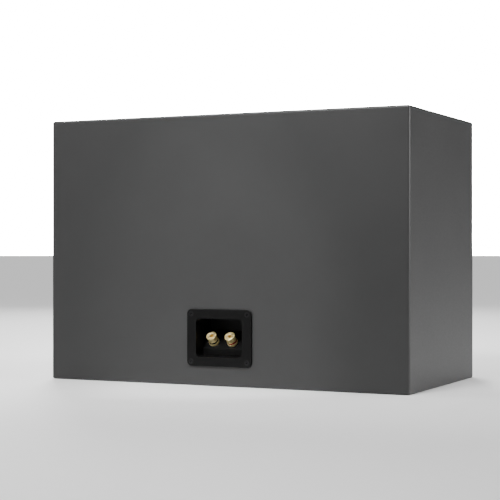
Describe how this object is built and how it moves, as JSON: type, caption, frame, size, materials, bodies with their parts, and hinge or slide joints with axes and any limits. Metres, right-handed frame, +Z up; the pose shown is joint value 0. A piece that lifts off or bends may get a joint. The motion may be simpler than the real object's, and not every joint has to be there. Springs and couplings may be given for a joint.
{
  "type": "bookshelf speaker",
  "caption": "Wide sealed loudspeaker box with woofers, dome tweeter, pull-off cloth grille, and gold binding posts on the ramp of a recessed cup at the back.",
  "frame": {"origin": "on the floor, under the middle of the overall box", "axes": "+X along the width, +Y from the grille to the terminals, +Z up"},
  "size_m": [0.366, 0.201, 0.25],
  "materials": {
    "wrap": "MDF board wrapped in dark grey vinyl, fine grain, satin",
    "mdf": "bare MDF, matt",
    "grille_board": "MDF painted matt black",
    "grille_cloth": "black knitted speaker cloth, stretched",
    "peg": "moulded black nylon",
    "socket": "moulded black rubber",
    "basket": "steel, black powder coat",
    "surround": "black butyl rubber, matt",
    "cone": "mineral-filled polypropylene, fine satin",
    "dust_cap": "pressed polypropylene, satin",
    "spider": "resin-stiffened cotton, corrugated",
    "coil": "enamelled copper wire",
    "steel": "zinc-plated steel",
    "ferrite": "sintered ferrite, grey",
    "faceplate": "moulded black ABS, satin",
    "dome": "coated black silk",
    "gasket": "black foam",
    "black_screw": "black-oxide steel",
    "cup": "moulded black ABS, polished",
    "gold": "gold-plated brass, turned",
    "red_ring": "moulded red plastic",
    "black_ring": "moulded black plastic",
    "board": "glass-fibre board, green lacquer",
    "fibre": "brown fibre strip with tinned tabs",
    "nylon": "natural nylon",
    "capacitor": "yellow film capacitor",
    "ceramic": "white cement resistor",
    "red_wire": "red PVC insulation",
    "black_wire": "black PVC insulation",
    "wadding": "white polyester wadding"
  },
  "bodies": {
    "cabinet": {"back_panel": "wrap", "board_screws": "steel", "board_standoffs": "nylon", "bottom_panel": "wrap", "capacitors": "capacitor", "centre_brace": "mdf", "crossover_board": "board", "cup_gasket": "gasket", "cup_screws": "black_screw", "driver_gaskets": "gasket", "driver_screws": "black_screw", "driver_tags": "fibre", "front_baffle": "wrap", "grille_sockets": "socket", "inductors": "coil", "left_panel": "wrap", "post_locknuts": "steel", "post_stud_black": "gold", "post_stud_red": "gold", "post_tags": "gold", "resistors": "ceramic", "right_panel": "wrap", "terminal_cup": "cup", "top_panel": "wrap", "tweeter_back_plate": "steel", "tweeter_faceplate": "faceplate", "tweeter_magnet": "ferrite", "tweeter_top_plate": "steel", "wadding": "wadding", "wires_black": "black_wire", "wires_red": "red_wire", "woofer_left_basket": "basket", "woofer_left_magnet": "ferrite", "woofer_left_top_plate": "steel", "woofer_left_yoke": "steel", "woofer_right_basket": "basket", "woofer_right_magnet": "ferrite", "woofer_right_top_plate": "steel", "woofer_right_yoke": "steel"},
    "grille": {"grille_cloth": "grille_cloth", "grille_frame": "grille_board", "grille_pegs": "peg"},
    "post_nut_black": {"post_nut_black": "gold"},
    "post_nut_red": {"post_nut_red": "gold"},
    "post_ring_black": {"post_ring_black": "black_ring"},
    "post_ring_red": {"post_ring_red": "red_ring"},
    "tweeter_moving": {"tweeter_dome": "dome", "tweeter_surround": "dome", "tweeter_voice_coil": "coil"},
    "woofer_left_moving": {"woofer_left_cone": "cone", "woofer_left_dust_cap": "dust_cap", "woofer_left_spider": "spider", "woofer_left_surround": "surround", "woofer_left_voice_coil": "coil"},
    "woofer_right_moving": {"woofer_right_cone": "cone", "woofer_right_dust_cap": "dust_cap", "woofer_right_spider": "spider", "woofer_right_surround": "surround", "woofer_right_voice_coil": "coil"}
  },
  "joints": [
    {"name": "grille_pull", "type": "slide", "parent": "cabinet", "child": "grille", "axis": [0, -1, 0], "range_m": [0, 0.06]},
    {"name": "woofer_left_travel", "type": "slide", "parent": "cabinet", "child": "woofer_left_moving", "axis": [0, -1, 0], "range_m": [-0.004, 0.004], "stiffness_N_per_m": 1200, "deforming": ["woofer_left_surround", "woofer_left_spider"]},
    {"name": "woofer_right_travel", "type": "slide", "parent": "cabinet", "child": "woofer_right_moving", "axis": [0, -1, 0], "range_m": [-0.004, 0.004], "stiffness_N_per_m": 1200, "deforming": ["woofer_right_surround", "woofer_right_spider"]},
    {"name": "tweeter_travel", "type": "slide", "parent": "cabinet", "child": "tweeter_moving", "axis": [0, -1, 0], "range_m": [-0.0005, 0.0005], "stiffness_N_per_m": 1500, "deforming": ["tweeter_surround"]},
    {"name": "post_red_lift", "type": "slide", "parent": "cabinet", "child": "post_ring_red", "axis": [0, 0.7071, 0.7071], "range_m": [0, 0.004]},
    {"name": "post_red_turn", "type": "hinge", "parent": "post_ring_red", "child": "post_nut_red", "pos_m": [-0.005, 0.08125, 0.0389], "axis": [0, 0.7071, 0.7071], "range_deg": [0, 1800]},
    {"name": "post_black_lift", "type": "slide", "parent": "cabinet", "child": "post_ring_black", "axis": [0, 0.7071, 0.7071], "range_m": [0, 0.004]},
    {"name": "post_black_turn", "type": "hinge", "parent": "post_ring_black", "child": "post_nut_black", "pos_m": [0.014, 0.08125, 0.0389], "axis": [0, 0.7071, 0.7071], "range_deg": [0, 1800]}
  ],
  "couplings": [
    {"joint": "post_red_turn", "follows": "post_red_lift", "rad_per_m": 7854},
    {"joint": "post_black_turn", "follows": "post_black_lift", "rad_per_m": 7854}
  ]
}
